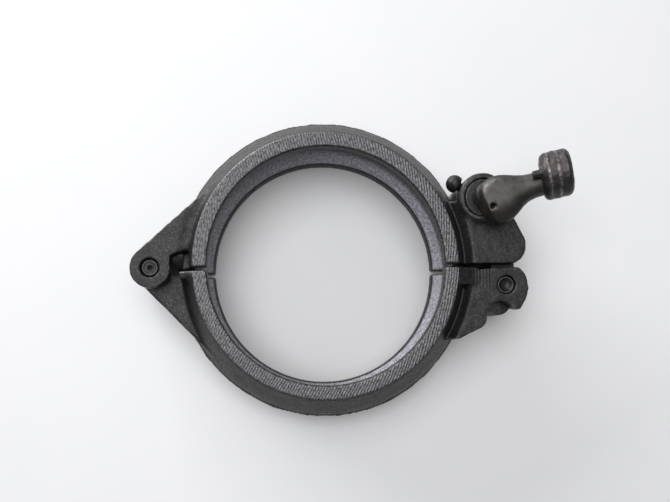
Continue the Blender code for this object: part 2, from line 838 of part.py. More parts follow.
def build():
    clear_scene()
    root = axis_empty("pipe_axis", (0.0, 0.0), None)
    upper = axis_empty("hinge_axis", hinge, root)
    hook = axis_empty("keeper_axis", keeper, root)
    lever = axis_empty("shaft_axis", shaft, upper)
    lower_half(root)
    keeper_pin(root)
    hook_link(hook)
    upper_half(upper)
    hinge_pin(upper)
    retaining_pin(upper)
    hub_washer(lever)
    cam_shaft(lever)
    lever_arm(lever)
    hub_roll_pin(lever)
    striking_head(lever)
    head_pin(lever)
    stand_on_origin(root)


build()
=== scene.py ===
"""Hinged pipe coupling with a cam lever, lying on its rear face on a pale bench."""

import math

import bpy
import numpy as np
from mathutils import Matrix, Vector, noise
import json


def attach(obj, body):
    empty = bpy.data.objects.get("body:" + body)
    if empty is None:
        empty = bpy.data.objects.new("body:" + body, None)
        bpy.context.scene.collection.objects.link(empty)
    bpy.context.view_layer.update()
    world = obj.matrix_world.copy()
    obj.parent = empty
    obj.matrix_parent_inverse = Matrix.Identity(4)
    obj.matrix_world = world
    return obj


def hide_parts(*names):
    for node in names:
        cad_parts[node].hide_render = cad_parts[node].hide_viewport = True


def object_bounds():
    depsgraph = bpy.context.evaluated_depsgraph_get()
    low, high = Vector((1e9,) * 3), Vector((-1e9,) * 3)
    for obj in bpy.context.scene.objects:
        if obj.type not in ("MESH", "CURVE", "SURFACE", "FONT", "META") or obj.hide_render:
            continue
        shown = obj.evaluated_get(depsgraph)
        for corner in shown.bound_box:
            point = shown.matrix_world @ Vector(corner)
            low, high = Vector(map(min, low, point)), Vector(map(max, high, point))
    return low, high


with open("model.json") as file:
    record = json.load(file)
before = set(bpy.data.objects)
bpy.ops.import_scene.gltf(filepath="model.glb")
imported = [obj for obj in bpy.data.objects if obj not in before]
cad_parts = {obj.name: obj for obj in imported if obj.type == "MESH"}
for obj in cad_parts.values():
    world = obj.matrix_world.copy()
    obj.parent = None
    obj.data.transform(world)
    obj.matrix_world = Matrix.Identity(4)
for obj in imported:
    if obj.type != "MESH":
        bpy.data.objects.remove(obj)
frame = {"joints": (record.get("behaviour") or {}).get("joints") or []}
cad_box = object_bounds()

# ==== lower half ========================================================================
# A drop-forged half ring with a fork for the keeper pin on the right and a hinge tongue on
# the left.  The front and rear faces and the bore are machined, the rest is as forged.
# Everything is drawn in millimetres round the pipe axis and then moved into place.

joints = {joint["name"]: Vector(joint["pos_m"]) for joint in frame["joints"]}
hinge = (-104.9, 1.4)
keeper = (110.0, -12.0)
shaft = (96.0, 40.8)
pipe_axis = Vector((joints["hook_swing"].x - keeper[0] / 1000.0,
                    joints["hook_swing"].y - keeper[1] / 1000.0, 0.0))

pipe_radius = 71.0
groove_radius = 79.0
face_radius = 79.5      # outer edge of the flat end faces
shoulder_radius = 87.4  # outer edge of the steep chamfers
rim_radius = 91.9
root_radius = 81.9      # inner edge of the lugs, buried in the ring
ring_width = 48.0
mid = 24.0              # the ring's middle plane
half_gap = 1.2          # from the middle of the split to each half
slot = (14.0, 34.0)     # inner faces of the cheeks
tongue = (14.5, 33.5)   # rear and front face of what moves in the slot
front_face = 43.5       # outer faces of the cheeks
rear_face = 4.5
pin_radius = 5.3
clearance = 0.3         # between a pin and its bore


def polar(centre, radius, degrees):
    angle = math.radians(degrees)
    return (centre[0] + radius * math.cos(angle), centre[1] + radius * math.sin(angle))


def arc(centre, radius, start, end, steps):
    """Points on an arc, both ends included, angles in degrees."""
    return [polar(centre, radius, start + (end - start) * i / steps) for i in range(steps + 1)]


def make_mesh(name, vertices, faces):
    mesh = bpy.data.meshes.new(name)
    mesh.from_pydata([tuple(vertex) for vertex in vertices], [], faces)
    obj = bpy.data.objects.new(name, mesh)
    bpy.context.scene.collection.objects.link(obj)
    return obj


def plate(name, outline, low, high):
    """A flat plate from its side outline, in either direction of turn."""
    pairs = zip(outline, outline[1:] + outline[:1])
    if sum(x1 * y2 - x2 * y1 for (x1, y1), (x2, y2) in pairs) < 0.0:
        outline = outline[::-1]
    count = len(outline)
    vertices = [(x, y, low) for x, y in outline] + [(x, y, high) for x, y in outline]
    faces = [tuple(reversed(range(count))), tuple(range(count, 2 * count))]
    faces += [(i, (i + 1) % count, count + (i + 1) % count, count + i) for i in range(count)]
    return make_mesh(name, vertices, faces)


def turned(name, profile, centre=(0.0, 0.0), segments=96):
    """A solid turned round a line along z; its (radius, z) profile runs anticlockwise."""
    count = len(profile)
    vertices = []
    for i in range(segments):
        for radius, z in profile:
            x, y = polar(centre, max(radius, 0.0), 360.0 * (i + 0.5) / segments)
            vertices.append((x, y, z))
    faces = []
    for i in range(segments):
        j = (i + 1) % segments
        for k in range(count):
            m = (k + 1) % count
            faces.append((i * count + k, j * count + k, j * count + m, i * count + m))
    obj = make_mesh(name, vertices, faces)
    merge_doubles(obj)
    return obj


def merge_doubles(obj):
    """Close the ends of a turned solid where its profile meets the axis."""
    weld = obj.modifiers.new("weld", "WELD")
    weld.merge_threshold = 0.0005
    settle(obj)


def settle(obj):
    """Keep the result of the object's modifiers as its mesh."""
    evaluated = obj.evaluated_get(bpy.context.evaluated_depsgraph_get())
    mesh = bpy.data.meshes.new_from_object(evaluated)
    obj.modifiers.clear()
    obj.data = mesh


def carve(base, tool, operation):
    """Join a second solid to the first or cut it away; the second one is used up."""
    modifier = base.modifiers.new("carve", "BOOLEAN")
    modifier.operation = operation
    modifier.solver = "EXACT"
    modifier.object = tool
    settle(base)
    bpy.data.objects.remove(tool)


def drill(base, centre, radius, low, high):
    carve(base, plate("drill", arc(centre, radius, 0.0, 360.0, 64)[:-1], low, high), "DIFFERENCE")


def read_points(obj):
    points = np.empty(len(obj.data.vertices) * 3)
    obj.data.vertices.foreach_get("co", points)
    return points.reshape(-1, 3)


def write_points(obj, points):
    obj.data.vertices.foreach_set("co", points.ravel())
    obj.data.update()


def vertex_normals(obj):
    normals = np.empty(len(obj.data.vertices) * 3, np.float32)
    obj.data.vertex_normals.foreach_get("vector", normals)
    return normals.reshape(-1, 3).astype(float)


def towards_neighbours(points, edges):
    """For each vertex, the step to the middle of the vertices joined to it."""
    count = len(points)
    totals = np.zeros_like(points)
    for here, there in ((0, 1), (1, 0)):
        for axis in range(3):
            totals[:, axis] += np.bincount(edges[:, here], points[edges[:, there], axis], count)
    shares = np.maximum(np.bincount(edges.ravel(), minlength=count), 1)
    return totals / shares[:, None] - points


def skin(obj, spacing, rounding=4, fill=None, fill_steps=40):
    """Cover a solid with an even mesh, round its edges and run fillets into its corners.

    fill gives, for each vertex, how much of a fillet it takes in a concave corner."""
    remesh = obj.modifiers.new("skin", "REMESH")
    remesh.mode = "VOXEL"
    remesh.voxel_size = spacing
    remesh.adaptivity = 0.0
    settle(obj)
    edges = np.empty(len(obj.data.edges) * 2, np.int64)
    obj.data.edges.foreach_get("vertices", edges)
    edges = edges.reshape(-1, 2)
    points = read_points(obj)
    for step in range(rounding):
        points += 0.5 * towards_neighbours(points, edges)
    write_points(obj, points)
    if fill is not None:
        share = fill(points)
        for step in range(fill_steps):
            normals = vertex_normals(obj)
            inward = np.einsum("ij,ij->i", towards_neighbours(points, edges), normals)
            points += normals * (np.maximum(inward, 0.0) * share)[:, None]
            write_points(obj, points)
        for step in range(3):
            points += 0.4 * share[:, None] * towards_neighbours(points, edges)
        write_points(obj, points)
    mark_edges(obj, edges)


def mark_edges(obj, edges):
    """Store how sharply each vertex stands out or sinks in, for the worn look of edges and the
    painted shade in hollows.
    """
    points = read_points(obj)
    normals = vertex_normals(obj)
    bend = -np.einsum("ij,ij->i", towards_neighbours(points, edges), normals)
    shares = np.maximum(np.bincount(edges.ravel(), minlength=len(bend)), 1)
    for step in range(3):
        spread = np.zeros(len(bend))
        spread += np.bincount(edges[:, 0], bend[edges[:, 1]], len(bend))
        spread += np.bincount(edges[:, 1], bend[edges[:, 0]], len(bend))
        bend = 0.5 * bend + 0.5 * spread / shares
    reach = np.percentile(np.abs(bend), 99.0)
    # This attribute drives both the worn edges and the painted shade in hollows.
    worn = obj.data.attributes.new("edge", "FLOAT", "POINT")
    worn.data.foreach_set("value", np.clip(bend / reach, -1.0, 1.0).astype(np.float32))


def roughen(obj, size, height, share=None, seed=0.0):
    """Give a surface the low unevenness of a forging or of wear."""
    points = read_points(obj)
    normals = vertex_normals(obj)
    offset = Vector((seed, seed * 0.7, -seed))
    rise = np.array([noise.fractal(Vector(point) / size + offset, 1.0, 2.0, 3)
                     for point in points])
    if share is not None:
        rise = rise * share(points)
    write_points(obj, points + normals * (rise * height)[:, None])


def ramp(values, low, high):
    """0 below low, 1 above high, smooth between."""
    share = np.clip((values - low) / (high - low), 0.0, 1.0)
    return share * share * (3.0 - 2.0 * share)


def ring_radius_of(points):
    return np.hypot(points[:, 0], points[:, 1])


def half_ring(name, upper):
    profile = [(pipe_radius, 0.0), (face_radius, 0.0), (shoulder_radius, 14.7), (rim_radius, mid),
               (shoulder_radius, 33.3), (face_radius, ring_width), (pipe_radius + 0.5, ring_width),
               (pipe_radius, ring_width - 0.5), (pipe_radius, 40.0), (groove_radius, 36.0),
               (groove_radius, 12.0), (pipe_radius, 8.0)]
    half = turned(name, profile, segments=288)
    reach = rim_radius + 5.0
    near, far = (half_gap, reach) if upper else (-reach, -half_gap)
    corners = [(-reach, near), (reach, near), (reach, far), (-reach, far)]
    carve(half, plate("side", corners, -1.0, ring_width + 1.0), "INTERSECT")
    return half


def root_arc(start, end):
    return arc((0.0, 0.0), root_radius, start, end, 12)


def as_forged(points):
    """1 on the rough outside of the ring and on the lugs, 0 on the machined faces and bore."""
    radius = ring_radius_of(points)
    return ramp(radius, 79.6, 81.5)


def lug_roots(points):
    """Where the cheeks run out of the ring's flanks in a fillet."""
    radius = ring_radius_of(points)
    flank = ramp(np.abs(points[:, 2] - mid), 15.5, 17.5) * (1.0 - ramp(radius, 92.0, 95.0))
    return 0.55 * flank * ramp(radius, 80.2, 81.2)


def trim_flash(obj, seed, worked):
    """The thin ridge left round the rim where the forging's flash was trimmed off."""
    points = read_points(obj)
    radius = ring_radius_of(points)
    height = points[:, 2] - mid
    degrees = np.degrees(np.arctan2(points[:, 1], points[:, 0]))
    near = ramp(radius, 89.0, 90.5) * (1.0 - ramp(np.abs(height), 2.5, 6.0)) * (radius < 92.2)
    wander = np.array([noise.noise(Vector((x / 9.0, y / 9.0, seed))) for x, y, z in points])
    nicks = np.array([noise.noise(Vector((x / 1.6, y / 1.6, seed + 9.0))) for x, y, z in points])
    middle = 0.25 * wander
    ridge = np.exp(-((height - middle) / 0.75) ** 2) * (0.62 + 0.25 * wander)
    chewed = worked(degrees) * np.exp(-((height - middle) / 1.1) ** 2)
    change = near * (ridge - 0.55 - 0.55 * chewed * np.maximum(nicks + 0.15, 0.0))
    outward = points[:, :2] / radius[:, None]
    points[:, :2] += outward * change[:, None]
    write_points(obj, points)


def lower_cheek():
    """An eye-shaped lobe round the keeper pin, with a round notch for the hook's tail."""
    x, y = keeper
    notch = (x - 3.9, y - 17.8)
    points = root_arc(-2.0, -34.0)
    points += [(x - 29.4, y - 32.5), (x - 23.0, y - 29.4), (x - 15.2, y - 25.9),
               (x - 12.6, y - 22.6)]
    points += arc(notch, 8.2, 162.0, 24.0, 20)
    points += [(x + 8.6, y - 15.4), (x + 12.6, y - 8.2), (x + 14.0, y - 2.1)]
    points += arc(keeper, 13.4, 5.0, 52.0, 10)
    points += [(x + 4.6, -half_gap)]
    return points


def tongue_outline():
    """A web that runs from the ring to the round boss of the hinge."""
    boss, web = 11.4, 87.0
    distance = math.hypot(*hinge)
    spread = math.degrees(math.acos((web - boss) / distance))
    normal = math.degrees(math.atan2(hinge[1], hinge[0])) % 360.0 + spread
    points = [(-root_radius, -2.4), (-rim_radius - 0.4, -2.4)]
    points += arc(hinge, boss, 0.0, normal, 32)
    points += [polar((0.0, 0.0), web, normal)]
    points += root_arc(normal, 184.0)
    return points


def cut_valleys(half, depth):
    """The valley that the die leaves between the ring and the foot of its lugs."""
    chamfer_start = 79.6  # just outside the flat end faces
    chamfer_run = 0.5374  # how far the chamfer moves out for each millimetre of depth
    floor_width = 0.6
    mouth = 89.6
    floor = chamfer_start + chamfer_run * depth
    profile = [(floor, depth), (groove_radius, -1.0), (mouth, -1.0), (mouth, rear_face),
               (floor + floor_width, depth)]
    carve(half, turned("valley", profile, segments=192), "DIFFERENCE")
    mirrored = [(radius, ring_width - z) for radius, z in reversed(profile)]
    carve(half, turned("valley", mirrored, segments=192), "DIFFERENCE")


def end_pad(side, depth, short=0.0):
    """The ring's end beside the split, left thicker than the chamfer next to it."""
    inner, outer = face_radius - 3.0, rim_radius + 0.6 - short
    low, high = slot[1] + 1.0, ring_width - 0.1
    corners = [(inner, -half_gap), (outer, -half_gap), (outer - 0.6, -depth), (inner, -depth)]
    pad = plate("pad", corners, low, high)
    slope = math.atan2(high - front_face, rim_radius - face_radius)
    top = plate("pad_top", [(0.0, -99.0), (60.0, -99.0), (60.0, 9.0), (0.0, 9.0)], 0.0, 30.0)
    lean = Matrix.Rotation(slope, 4, "Y")
    top.data.transform(Matrix.Translation((face_radius, 0.0, high)) @ lean)
    carve(pad, top, "DIFFERENCE")
    if side < 0:
        pad.data.transform(Matrix.Scale(-1.0, 4, (1.0, 0.0, 0.0)))
        pad.data.flip_normals()
    return pad


def put_in_place(obj):
    """From millimetres round the pipe axis to metres in the row frame."""
    obj.data.transform(Matrix.Translation(pipe_axis) @ Matrix.Scale(0.001, 4))
    obj.data.shade_smooth()
    return obj


def from_hex(code):
    """A screen colour such as 2a2c2f as the linear colour a shader takes."""
    parts = [int(code[i:i + 2], 16) / 255.0 for i in (0, 2, 4)]
    return (*[p / 12.92 if p <= 0.04045 else ((p + 0.055) / 1.055) ** 2.4 for p in parts], 1.0)


def add_node(tree, kind, sources, **settings):
    """Add a node; sources maps an input to a plain value or to another node's output."""
    made = tree.nodes.new(kind)
    for name, value in settings.items():
        setattr(made, name, value)
    for key, value in sources.items():
        if isinstance(value, bpy.types.NodeSocket):
            tree.links.new(value, made.inputs[key])
        else:
            made.inputs[key].default_value = value
    return made


def math_of(tree, operation, first, second=0.0, third=0.0):
    sources = {0: first, 1: second, 2: third}
    return add_node(tree, "ShaderNodeMath", sources, operation=operation).outputs[0]


def mapped(tree, value, low, high, out_low=0.0, out_high=1.0):
    """value from low..high to out_low..out_high, held at both ends."""
    sources = {"Value": value, "From Min": low, "From Max": high,
               "To Min": out_low, "To Max": out_high}
    return add_node(tree, "ShaderNodeMapRange", sources, clamp=True).outputs[0]


def blended(tree, share, first, second):
    sources = {"Factor": share, "A": first, "B": second}
    made = add_node(tree, "ShaderNodeMix", {}, data_type="RGBA")
    for key, socket in (("Factor", made.inputs[0]), ("A", made.inputs[6]), ("B", made.inputs[7])):
        if isinstance(sources[key], bpy.types.NodeSocket):
            tree.links.new(sources[key], socket)
        else:
            socket.default_value = sources[key]
    return made.outputs[2]


def noise_of(tree, place, size_mm, detail=3.0, roughness=0.55):
    """Noise whose lumps are about size_mm across."""
    sources = {"Vector": place, "Scale": 1000.0 / size_mm, "Detail": detail, "Roughness": roughness}
    return add_node(tree, "ShaderNodeTexNoise", sources).outputs["Fac"]


def surface(name, colour_of, roughness_of, metallic, heights_of):
    """A metal finish; each argument builds its own nodes from the tree and the place."""
    material = bpy.data.materials.new(name)
    material.use_nodes = True
    tree = material.node_tree
    shader = tree.nodes["Principled BSDF"]
    place = add_node(tree, "ShaderNodeTexCoord", {}).outputs["Object"]
    shader.inputs["Metallic"].default_value = metallic
    tree.links.new(colour_of(tree, place), shader.inputs["Base Color"])
    tree.links.new(roughness_of(tree, place), shader.inputs["Roughness"])
    normal = None
    for height, millimetres, strength in heights_of(tree, place):
        sources = {"Height": height, "Distance": millimetres / 1000.0, "Strength": strength}
        if normal is not None:
            sources["Normal"] = normal
        normal = add_node(tree, "ShaderNodeBump", sources).outputs[0]
    tree.links.new(normal, shader.inputs["Normal"])
    return material


def edge_of(tree):
    return add_node(tree, "ShaderNodeAttribute", {}, attribute_name="edge").outputs["Fac"]


def facing_up(tree):
    """1 on level surfaces that face the front or the rear, by the piece's true shape."""
    geometry = add_node(tree, "ShaderNodeNewGeometry", {}).outputs["True Normal"]
    upward = add_node(tree, "ShaderNodeSeparateXYZ", {0: geometry}).outputs["Z"]
    return mapped(tree, math_of(tree, "ABSOLUTE", upward), 0.9, 0.97)


def radius_in(tree, place, centre):
    """Distance from an axis along z through centre, in metres."""
    x, y = (pipe_axis.x + centre[0] / 1000.0, pipe_axis.y + centre[1] / 1000.0)
    parts = add_node(tree, "ShaderNodeSeparateXYZ", {0: place})
    across = math_of(tree, "SUBTRACT", parts.outputs["X"], x)
    along = math_of(tree, "SUBTRACT", parts.outputs["Y"], y)
    both = math_of(tree, "ADD", math_of(tree, "MULTIPLY", across, across),
                   math_of(tree, "MULTIPLY", along, along))
    return math_of(tree, "SQRT", both)


def waves(tree, distance, pitch_mm):
    """Regular tool marks across the direction in which distance grows."""
    turns = math_of(tree, "MULTIPLY", distance, 2.0 * math.pi * 1000.0 / pitch_mm)
    return math_of(tree, "MULTIPLY_ADD", math_of(tree, "SINE", turns), 0.5, 0.5)


def ring_zone(tree, place):
    """1 on the machined faces, lips and groove of the ring."""
    return mapped(tree, radius_in(tree, place, (0.0, 0.0)), 0.0797, 0.0792)


def half_colour(tree, place):
    """Near-black forging scale; bare grey, drawn out by the cutter, where it was machined; a
    painted highlight on the groove's rear flank, painted shade on the lip walls and in the hollows.
    """
    scale = blended(tree, mapped(tree, noise_of(tree, place, 9.0), 0.38, 0.66),
                    from_hex("303031"), from_hex("393737"))
    scale = blended(tree, mapped(tree, noise_of(tree, place, 1.2, 4.0, 0.7), 0.52, 0.7),
                    scale, from_hex("504f4f"))
    drawn = add_node(tree, "ShaderNodeVectorMath", {0: place, 1: (1.0, 0.4, 1.0)},
                     operation="MULTIPLY").outputs[0]
    bare = blended(tree, mapped(tree, noise_of(tree, drawn, 0.8, 4.0, 0.7), 0.34, 0.68),
                   from_hex("303032"), from_hex("858487"))
    colour = blended(tree, ring_zone(tree, place), scale, bare)
    height = add_node(tree, "ShaderNodeSeparateXYZ", {0: place}).outputs["Z"]
    # Painted highlight: the groove's rear flank, 8 to 12.5 mm up the bore, is painted pale
    # blue-grey in place of the light that falls into the groove from above.
    inner = mapped(tree, radius_in(tree, place, (0.0, 0.0)), 0.0792, 0.0788)
    seat = math_of(tree, "MULTIPLY", inner, mapped(tree, height, 0.0135, 0.0125))
    seat = math_of(tree, "MULTIPLY", seat, mapped(tree, height, 0.0076, 0.0082))
    painted_flank_light = blended(tree, mapped(tree, noise_of(tree, place, 1.2, 4.0, 0.7), 0.35, 0.65),
                   from_hex("77777e"), from_hex("bcbbc4"))
    colour = blended(tree, seat, colour, painted_flank_light)
    # Painted shade: the steep walls of the bore's lips, where they do not face up, are painted
    # near-black.
    shaded_wall = mapped(tree, radius_in(tree, place, (0.0, 0.0)), 0.0721, 0.0716, 0.0, 0.8)
    shaded_wall = math_of(tree, "MULTIPLY", shaded_wall, math_of(tree, "SUBTRACT", 1.0, facing_up(tree)))
    colour = blended(tree, shaded_wall, colour, from_hex("19191b"))
    worn = mapped(tree, edge_of(tree), 0.4, 1.0, 0.0, 0.4)
    patches = mapped(tree, noise_of(tree, place, 3.5, 4.0, 0.7), 0.42, 0.6)
    worn = math_of(tree, "MULTIPLY", worn, patches)
    # Painted shade: concave corners and creases are darkened towards near-black.
    hollow_shade = mapped(tree, edge_of(tree), -0.12, -0.7, 0.0, 0.45)
    colour = blended(tree, hollow_shade, colour, from_hex("1c1b1b"))
    return blended(tree, worn, colour, from_hex("8d8884"))


def half_roughness(tree, place):
    return mapped(tree, noise_of(tree, place, 1.5, 4.0), 0.3, 0.7, 0.34, 0.56)


def half_heights(tree, place):
    """Forging grit everywhere, and arcs of a face mill over the machined faces."""
    mill_centre = (-190.0, 30.0)
    mill_pitch = 1.6
    drift = math_of(tree, "MULTIPLY", noise_of(tree, place, 12.0, 2.0), 0.0016)
    mill = math_of(tree, "ADD", radius_in(tree, place, mill_centre), drift)
    marks = waves(tree, mill, mill_pitch)
    marks = math_of(tree, "MULTIPLY", marks, noise_of(tree, place, 4.0, 2.0))
    faces = math_of(tree, "MULTIPLY", marks, ring_zone(tree, place))
    faces = math_of(tree, "MULTIPLY", faces, facing_up(tree))
    return [(noise_of(tree, place, 0.8, 3.0), 0.20, 1.0),
            (noise_of(tree, place, 2.4, 3.0), 0.24, 0.8),
            (faces, 0.34, 1.0)]


# Forged steel, scale-black outside and bare where machined, with the grit of the die.
forged_steel = surface("forged_steel", half_colour, half_roughness, 0.8, half_heights)


def cutter_ribs(obj):
    """Low ribs, 2 mm apart, that the cutter left on the lower front cheek beside the pin."""
    pitch = 2.0
    depth = 0.26
    points = read_points(obj)
    across, down = points[:, 0] - keeper[0], points[:, 1] - keeper[1]
    field = ramp(across, -23.0, -20.0) * (1.0 - ramp(across, -9.0, -7.5))
    field *= ramp(down, -6.0, 1.0) * (points[:, 2] > front_face - 0.6)
    points[:, 2] -= depth * field * (0.6 + np.cos(across * 2.0 * math.pi / pitch))
    write_points(obj, points)


def finish_half(half, seed, worked, body, node):
    skin(half, 0.75, 4, lug_roots)
    trim_flash(half, seed, worked)
    if body == "lower":
        cutter_ribs(half)
    roughen(half, 7.0, 0.16, as_forged, seed)
    put_in_place(half)
    half.data.materials.append(forged_steel)
    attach(half, body)
    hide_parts(node)


def chewed_below(degrees):
    """Where the lower rim is nicked, by its angle round the pipe axis."""
    return ramp(degrees, -113.0, -108.0) * (1.0 - ramp(degrees, -80.0, -74.0))


lug_valley = 9.5
lower = half_ring("lower_half_forging", False)
carve(lower, plate("cheek", lower_cheek(), slot[1], front_face), "UNION")
carve(lower, plate("cheek", lower_cheek(), rear_face, slot[0]), "UNION")
carve(lower, plate("tongue", tongue_outline(), *tongue), "UNION")
cut_valleys(lower, lug_valley)
carve(lower, end_pad(1, 11.5), "UNION")
carve(lower, end_pad(-1, 5.2, 4.4), "UNION")
drill(lower, hinge, pin_radius + clearance, tongue[0] - 1.0, tongue[1] + 1.0)
drill(lower, keeper, pin_radius + clearance, rear_face - 1.0, front_face + 1.0)
finish_half(lower, 3.0, chewed_below, "lower", "lower_half")

# ==== upper half ========================================================================
# The same forging with a hinge fork on the left and, on the right, a fork with a round
# boss bored for the cam shaft.  It turns on the hinge pin.

hinge_valley = 6.2
boss_radius = 15.2
boss_bevel = 1.6
boss_top = front_face + 2.4
counterbore_radius = 11.4
washer_seat = boss_top - 2.4
front_journal = 9.0
rear_journal = 6.0
retainer_angle = 149.0
retainer_radius = 2.4
retainer_height = (slot[1] + washer_seat) / 2


def upper_cheek():
    """A rounded lobe below the round boss of the cam shaft."""
    x, y = shaft
    lobe = (x + 15.2, y - 28.8)
    start = polar((0.0, 0.0), root_radius, 2.0)
    points = [(start[0], half_gap), (lobe[0] + 4.6, half_gap)]
    points += arc(lobe, 11.6, -52.0, 24.0, 16)
    points += arc(shaft, boss_radius, -12.0, 186.0, 40)
    points += root_arc(30.0, 3.0)
    return points


def hinge_cheek():
    """A web from the ring to the round end that holds the hinge pin."""
    boss = 12.0
    distance = math.hypot(*hinge)
    spread = math.degrees(math.acos((root_radius - boss) / distance))
    normal = math.degrees(math.atan2(hinge[1], hinge[0])) % 360.0 - spread
    return root_arc(normal, 171.0) + arc(hinge, boss, 14.0, normal - 360.0, 36)


def along_retainer(obj):
    """Turn a solid drawn along z so that it points in at the shaft like the retaining pin."""
    lay = Matrix.Rotation(math.radians(90.0), 4, "Y")
    turn = Matrix.Rotation(math.radians(retainer_angle), 4, "Z")
    obj.data.transform(Matrix.Translation((*shaft, retainer_height)) @ turn @ lay)
    return obj


def chewed_above(degrees):
    """Where the upper rim is nicked a little."""
    return 0.35 * ramp(degrees, 60.0, 64.0) * (1.0 - ramp(degrees, 96.0, 104.0))


upper = half_ring("upper_half_forging", True)
cheek_levels = ((slot[1], front_face), (rear_face, slot[0]))
for low, high in cheek_levels:
    carve(upper, plate("cheek", upper_cheek(), low, high), "UNION")
cut_valleys(upper, lug_valley)
for low, high in cheek_levels:
    carve(upper, plate("hinge_cheek", hinge_cheek(), low, high), "UNION")
cut_valleys(upper, hinge_valley)
boss_profile = [(0.0, front_face - 1.0), (boss_radius, front_face - 1.0),
                (boss_radius, boss_top - boss_bevel), (boss_radius - boss_bevel, boss_top),
                (0.0, boss_top)]
carve(upper, turned("boss", boss_profile, shaft), "UNION")
pocket = [(-92.9, 0.0), (-81.9, 0.0), (-81.9, 12.2), (-92.9, 8.4)]
carve(upper, plate("pocket", pocket, slot[1], ring_width + 1.0), "DIFFERENCE")
drill(upper, hinge, pin_radius + clearance, rear_face - 1.0, front_face + 1.0)
drill(upper, shaft, front_journal + clearance, slot[1] - 1.0, boss_top + 1.0)
drill(upper, shaft, rear_journal + clearance, rear_face - 1.0, slot[0] + 1.0)
drill(upper, shaft, counterbore_radius, washer_seat, boss_top + 1.0)
hole_radius = retainer_radius + clearance
hole_profile = [(0.0, 7.0), (hole_radius, 7.0), (hole_radius, 23.2), (0.0, 23.2)]
carve(upper, along_retainer(turned("hole", hole_profile)), "DIFFERENCE")
finish_half(upper, 11.0, chewed_above, "upper", "upper_half")

# ==== hinge pin =========================================================================
# Plain steel pin that stays with the upper half's fork; its front end is sunk a little
# and centre-punched, with a broken edge.

pin_high = front_face - 0.9
rear_end = [(0.0, rear_face + 0.2), (pin_radius - 0.6, rear_face + 0.2),
            (pin_radius, rear_face + 0.8)]
hinge_profile = rear_end + [
    (pin_radius, pin_high - 1.0), (pin_radius - 1.1, pin_high), (3.3, pin_high - 0.5),
    (1.5, pin_high - 0.7), (0.5, pin_high - 1.9), (0.0, pin_high - 2.0)]


def pin_colour(tree, place):
    """Dark oiled steel with a little grey showing through and patches of rust."""
    mottle = mapped(tree, noise_of(tree, place, 2.4, 4.0), 0.35, 0.7)
    colour = blended(tree, mottle, from_hex("2b2b2c"), from_hex("424142"))
    rust = mapped(tree, noise_of(tree, place, 3.6, 4.0, 0.7), 0.62, 0.74, 0.0, 0.45)
    colour = blended(tree, rust, colour, from_hex("4a3830"))
    worn = mapped(tree, edge_of(tree), 0.5, 1.0, 0.0, 0.35)
    return blended(tree, worn, colour, from_hex("7d7b7c"))


def pin_roughness(tree, place):
    return mapped(tree, noise_of(tree, place, 1.5, 4.0), 0.3, 0.7, 0.38, 0.56)


def pin_heights(tree, place):
    return [(noise_of(tree, place, 0.6, 3.0), 0.06, 0.8),
            (noise_of(tree, place, 2.0, 3.0), 0.12, 0.6)]


# Oiled pin steel, bright along the worn edges.
pin_steel = surface("pin_steel", pin_colour, pin_roughness, 0.8, pin_heights)


def finish_pin(obj, spacing, rounding, body, node, unevenness=0.05):
    skin(obj, spacing, rounding)
    roughen(obj, 2.5, unevenness, None, 5.0)
    put_in_place(obj)
    obj.data.materials.append(pin_steel)
    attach(obj, body)
    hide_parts(node)


finish_pin(turned("hinge_pin_turned", hinge_profile, hinge), 0.3, 2, "upper", "hinge_pin")

# ==== keeper pin ========================================================================
# The pin that the hook swings on, fixed in the lower fork, with a drilled front end.

keeper_high = front_face - 1.2
keeper_profile = rear_end + [
    (pin_radius, keeper_high - 0.7), (pin_radius - 0.6, keeper_high), (4.3, keeper_high - 0.2),
    (2.8, keeper_high - 1.5), (1.4, keeper_high - 2.0), (0.0, keeper_high - 2.4)]
finish_pin(turned("keeper_pin_turned", keeper_profile, keeper), 0.3, 2, "lower", "keeper_pin")

# ==== hook ==============================================================================
# A forged link that swings on the keeper pin, with a jaw that closes over the cam shaft
# and a round tail that shows in the notch below.

cam_radius = 7.7
cam_throw = 0.8
jaw_radius = cam_radius + cam_throw + 0.4
hook_back_radius = jaw_radius + 6.2
hook_eye = 10.4
tail_centre = polar(keeper, 9.8, 257.0)
jaw_root = polar(keeper, hook_eye, 14.0)
reach_x, reach_y = jaw_root[0] - shaft[0], jaw_root[1] - shaft[1]
back_start = math.degrees(math.atan2(reach_y, reach_x)
                          + math.acos(hook_back_radius / math.hypot(reach_x, reach_y)))
hook_outline = arc(keeper, hook_eye, -62.0, 14.0, 14)
hook_outline += arc(shaft, hook_back_radius, back_start, 72.0, 28)
hook_outline += arc(shaft, jaw_radius, 72.0, -38.0, 32)
hook_outline += arc(keeper, hook_eye, 128.0, 196.0, 16)
hook_outline += arc(tail_centre, 8.6, 180.0, 330.0, 30)
hook = plate("hook_forging", hook_outline, *tongue)
drill(hook, keeper, pin_radius + clearance, tongue[0] - 1.0, tongue[1] + 1.0)
skin(hook, 0.5, 4)
roughen(hook, 6.0, 0.14, None, 21.0)
put_in_place(hook)
hook.data.materials.append(forged_steel)
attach(hook, "hook")
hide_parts("hook_link")

# ==== cam shaft =========================================================================
# Turned from bar: rear journal, an eccentric cam with one relieved side between the
# cheeks, front journal with a groove for the retaining pin, and a spigot for the lever.

washer_thickness = 1.8
journal_top = washer_seat - 0.3
hub_low = boss_top + 0.5
spigot_top = hub_low + 9.5
hub_pin_azimuth = -85.0
hub_pin_lean = 40.0
hub_pin_hole = (1.8, -5.5, 15.0)  # radius, and its ends along the pin


